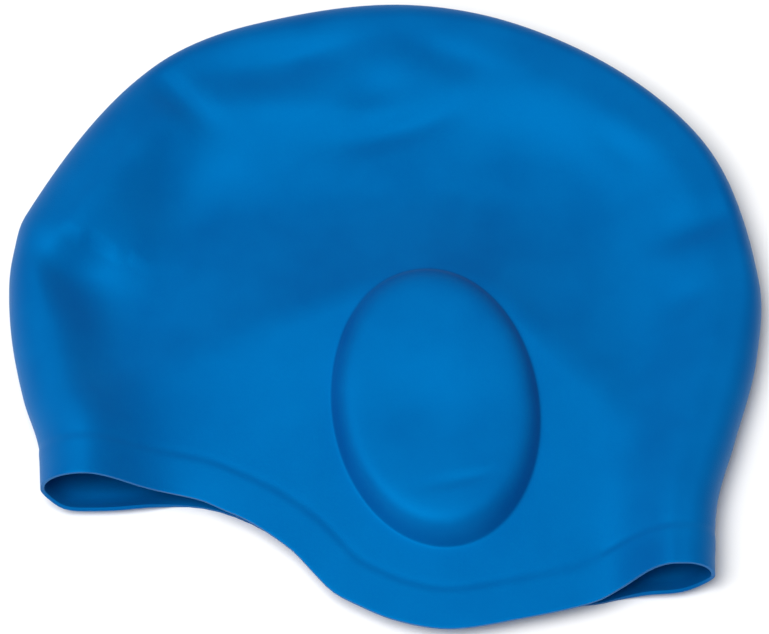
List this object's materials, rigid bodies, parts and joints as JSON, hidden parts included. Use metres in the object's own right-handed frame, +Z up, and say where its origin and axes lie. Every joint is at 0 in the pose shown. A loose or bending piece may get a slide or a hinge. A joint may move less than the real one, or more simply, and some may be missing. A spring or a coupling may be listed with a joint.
{
  "type": "swim cap",
  "caption": "Moulded silicone swim cap with an ear pocket in each cheek, lying flattened on its side, hollow and open at the rim.",
  "frame": {"origin": "middle of the footprint, on the surface that the cap lies on", "axes": "+X from the forehead to the nape, +Y from the rim to the crown, +Z up from the surface that the cap lies on"},
  "size_m": [0.228, 0.2076, 0.024],
  "materials": {
    "silicone": "satin"
  },
  "bodies": {
    "root": {"cap": "silicone"}
  },
  "joints": []
}
